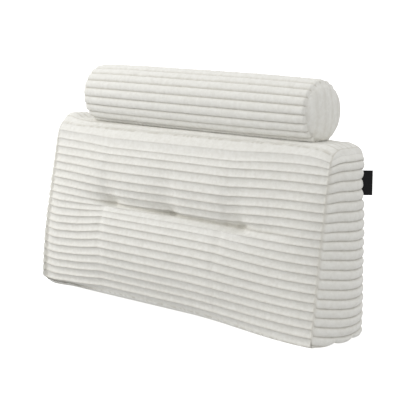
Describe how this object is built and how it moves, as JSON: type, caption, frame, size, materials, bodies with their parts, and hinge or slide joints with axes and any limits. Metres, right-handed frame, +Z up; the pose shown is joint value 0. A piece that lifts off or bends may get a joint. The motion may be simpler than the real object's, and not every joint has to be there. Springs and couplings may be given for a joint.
{
  "type": "wedge pillow with a neck bolster",
  "caption": "Upright wedge back pillow in ivory wide-wale corduroy, tufted front, with a round neck bolster on top.",
  "frame": {"origin": "middle of the base's box, on the surface the wedge rests on", "axes": "+X along the width towards the labelled end, -Y towards the leaning front face, +Z up"},
  "size_m": [1.095, 0.248, 0.6602],
  "materials": {
    "ivory_corduroy": "matte",
    "black_tape": "matte"
  },
  "bodies": {
    "root": {"wedge_cushion": "ivory_corduroy", "neck_bolster": "ivory_corduroy", "side_label": "black_tape"}
  },
  "joints": []
}
